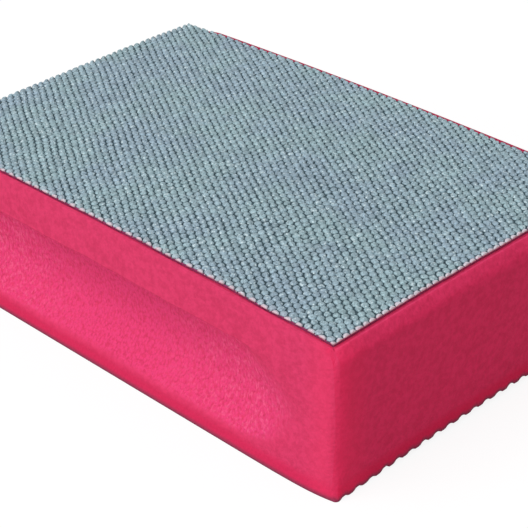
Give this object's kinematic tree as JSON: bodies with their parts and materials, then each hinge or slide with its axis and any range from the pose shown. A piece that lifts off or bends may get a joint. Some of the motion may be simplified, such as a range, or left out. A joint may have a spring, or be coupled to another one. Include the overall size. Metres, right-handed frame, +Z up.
{
  "type": "abrasive hand pad",
  "caption": "Flat rectangular foam hand pad with a plated-dot abrasive sheet on its top face, a finger groove along each long side and a ribbed base.",
  "frame": {"origin": "under the middle of the pad, on the plane of the rib crests of its base", "axes": "+X along the pad's length, +Y across it, +Z up towards the abrasive face"},
  "size_m": [0.09, 0.055, 0.024],
  "materials": {
    "foam": "matte closed-cell foam, pink",
    "adhesive": "thin dark adhesive film",
    "abrasive": "grey-blue plated dots on dark cloth"
  },
  "bodies": {
    "root": {"foam_block": "foam", "adhesive_film": "adhesive", "abrasive_sheet": "abrasive"}
  },
  "joints": []
}
